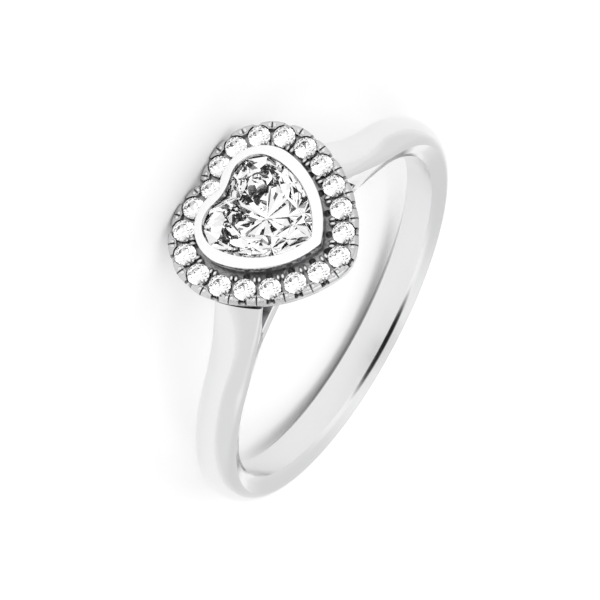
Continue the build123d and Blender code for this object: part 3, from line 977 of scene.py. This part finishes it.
def studio_world(studio):
    """Light-grey dome, made of the parts in the table above."""
    world = bpy.data.worlds.new("studio")
    world.use_nodes = True
    tree = world.node_tree
    tree.nodes.clear()
    where = add_node(tree, "ShaderNodeTexCoord").outputs["Generated"]
    light = studio.dome
    for way, outer, inner, outside, inside in DOME:
        inputs = {0: where, 1: Vector(way).normalized()}
        dot = add_node(tree, "ShaderNodeVectorMath", inputs, operation="DOT_PRODUCT").outputs["Value"]
        part = remapped(tree, dot, (outer, inner), (outside, inside), "SMOOTHSTEP")
        light = add_node(tree, "ShaderNodeMath", {0: light, 1: part}, operation="MULTIPLY").outputs[0]
    back = add_node(tree, "ShaderNodeBackground", {"Color": (1.0, 1.0, 1.0, 1.0), "Strength": light})
    add_node(tree, "ShaderNodeOutputWorld", {0: back.outputs[0]})
    return world


def settings():
    return bpy.context.scene.heart_ring


def metal(name="polished white gold"):
    """Finish of the metal by its name, made when it is first asked for."""
    finishes = settings().finishes
    shade, relief = {
        "polished white gold": (finishes.metal, 0.0),
        # Painted light: the bezel's copy of the metal is lighter
        "white gold painted lighter": (finishes.lip_metal_painted_lighter, 0.0),
        # Painted shade: the copy round the halo stones is darker, besides carrying its real tool marks
        "worked white gold painted darker": (finishes.set_metal_painted_darker, finishes.relief),
    }[name]
    return bpy.data.materials.get(name) or metal_material(name, shade, finishes, relief)


def head_shape():
    ring = settings()
    return HeadShape(ring.band, ring.head, ring.stones)


class HEARTRING_OT_band(Operator):
    """Build the band with its shoulders and the rail under the head"""

    bl_idname = "heart_ring.band"
    bl_label = "Band and Rail"

    def execute(self, context):
        ring = settings()
        lay_down("band_and_shoulders", band_mesh(ring.band, ring.head), metal(), crisp=BAND_CRISP)
        lay_down("rail", rail_mesh(ring.band), metal())
        return {"FINISHED"}


class HEARTRING_OT_bezel(Operator):
    """Build the collet and the bezel of the heart stone"""

    bl_idname = "heart_ring.bezel"
    bl_label = "Bezel"

    def execute(self, context):
        lay_down("heart_bezel", bezel_mesh(settings().head, head_shape()), metal("white gold painted lighter"))
        return {"FINISHED"}


class HEARTRING_OT_rim(Operator):
    """Build the halo plate with its scalloped outer wall"""

    bl_idname = "heart_ring.rim"
    bl_label = "Halo Rim"

    def execute(self, context):
        ring = settings()
        lay_down("halo_rim", rim_mesh(ring.head, ring.stones, head_shape()), metal("worked white gold painted darker"))
        return {"FINISHED"}


# Claws at each gap: distance from the row of stones, half the gap between a pair, and stretch
OUTER_CLAWS = (0.46 * MM, 0.115 * MM, 1.2)
INNER_CLAWS = (-0.48 * MM, 0.105 * MM, 1.9)
CLAW_SINK = 0.15 * MM


class HEARTRING_OT_claws(Operator):
    """Grow the claws between the halo stones"""

    bl_idname = "heart_ring.claws"
    bl_label = "Claws"

    def execute(self, context):
        head, shape = settings().head, head_shape()
        foot = shape.plate_high - CLAW_SINK
        for name, radius, (reach, apart, stretch) in (
            ("outer_claws", head.outer_claw, OUTER_CLAWS), ("inner_claws", head.inner_claw, INNER_CLAWS)
        ):
            places = []
            for place, out in shape.gaps:
                side = Vector((-out.y, out.x, 0))
                for sign in (-1, 1):
                    places.append((place + Vector((0, 0, foot)) + out * reach + side * (sign * apart), out))
            mesh = grow_claws(name, places, {
                "Radius": radius, "Height": shape.claw_top - foot, "Stretch": stretch, "Finish": metal(),
            })
            lay_down(name, mesh, metal(), crisp=0)
        return {"FINISHED"}


class HEARTRING_OT_stones(Operator):
    """Give the heart stone and the halo stones their clear material"""

    bl_idname = "heart_ring.stones"
    bl_label = "Stones"

    def execute(self, context):
        finishes = settings().finishes
        heart = gem_material("clear heart stone", finishes, finishes.heart_index)
        halo = gem_material("clear halo stone", finishes, finishes.halo_index)
        for name in (HEART_NODE, *HALO_NODES):
            slots = frame["nodes"][name].data.materials
            material = heart if name == HEART_NODE else halo
            if not slots:
                slots.append(material)
            for index in range(len(slots)):
                slots[index] = material
        return {"FINISHED"}


FLOOR_REACH = 1.5
# Light passes through many facets before it leaves a stone, so paths may be long
MOST_BOUNCES = 24
MOST_MIRRORS = 16
SOFT_BOX_SIZE = 0.25
SOFT_BOX_PLACE = Vector((0.08, -0.33, 0.22))
# Camera on the bench: its directions to the right and up, and its place in millimetres
CAMERA_RIGHT = Vector((-0.5156351, 0.8391916, -0.1728521))
CAMERA_UP = Vector((-0.8341127, -0.4455304, 0.3252055))
CAMERA_PLACE = Vector((34.79908, 53.88869, 164.65677))


class HEARTRING_OT_stage(Operator):
    """Set the white floor, the studio light and the camera"""

    bl_idname = "heart_ring.stage"
    bl_label = "Stage"

    def execute(self, context):
        studio, scene = settings().studio, context.scene
        mesh = bpy.data.meshes.new("floor")
        corners = [(x * FLOOR_REACH, y * FLOOR_REACH, 0) for x, y in ((-1, -1), (1, -1), (1, 1), (-1, 1))]
        mesh.from_pydata(corners, [], [(0, 1, 2, 3)])
        mesh.materials.append(floor_material(settings().finishes))
        floor = bench_object("floor", mesh)
        scene.world = studio_world(studio)
        scene.view_settings.view_transform = "Standard"
        scene.cycles.max_bounces = MOST_BOUNCES
        scene.cycles.glossy_bounces = MOST_MIRRORS
        scene.cycles.transmission_bounces = MOST_BOUNCES

        lamp = bpy.data.lights.new("soft box", "AREA")
        lamp.shape = "DISK"
        lamp.size = SOFT_BOX_SIZE
        lamp.energy = studio.key_power
        box = bench_object("soft box", lamp)
        box.location = SOFT_BOX_PLACE
        box.rotation_euler = (-box.location).to_track_quat("-Z", "Y").to_euler()

        view = bpy.data.cameras.new("photo camera")
        view.sensor_width = 36.0
        view.lens = studio.lens
        view.clip_start = 0.01
        view.clip_end = 10.0
        camera = bench_object("photo camera", view)
        turned = Matrix((CAMERA_RIGHT, CAMERA_UP, CAMERA_RIGHT.cross(CAMERA_UP))).transposed().to_4x4()
        camera.matrix_world = LAID @ Matrix.Translation(CAMERA_PLACE * MM) @ turned
        scene.camera = camera
        return {"FINISHED"}


class HeartRing(PropertyGroup):
    """All settings of the ring"""

    band: group(BandSizes, "Band")
    head: group(HeadSizes, "Head")
    stones: group(StoneSizes, "Stones")
    finishes: group(Finishes, "Finishes")
    studio: group(Studio, "Studio")


OPERATORS = (
    HEARTRING_OT_band, HEARTRING_OT_bezel, HEARTRING_OT_rim, HEARTRING_OT_claws, HEARTRING_OT_stones,
    HEARTRING_OT_stage,
)


class HEARTRING_PT_panel(Panel):
    """Lists the settings and the steps"""

    bl_idname = "HEARTRING_PT_panel"
    bl_label = "Heart Ring"
    bl_space_type = "VIEW_3D"
    bl_region_type = "UI"
    bl_category = "Heart Ring"

    def draw(self, context):
        ring = context.scene.heart_ring
        for part in (ring.band, ring.head, ring.stones, ring.finishes, ring.studio):
            box = self.layout.box()
            for key in part.__annotations__:
                box.prop(part, key)
        for operator in OPERATORS:
            self.layout.operator(operator.bl_idname)


CLASSES = (BandSizes, HeadSizes, StoneSizes, Finishes, Studio, HeartRing, HEARTRING_PT_panel) + OPERATORS


def register():
    for kind in CLASSES:
        bpy.utils.register_class(kind)
    bpy.types.Scene.heart_ring = PointerProperty(type=HeartRing)


def unregister():
    del bpy.types.Scene.heart_ring
    for kind in reversed(CLASSES):
        bpy.utils.unregister_class(kind)


def main():
    register()
    bpy.ops.heart_ring.band()
    bpy.ops.heart_ring.bezel()
    bpy.ops.heart_ring.rim()
    bpy.ops.heart_ring.claws()
    bpy.ops.heart_ring.stones()
    bpy.ops.heart_ring.stage()


if __name__ == "__main__":
    main()
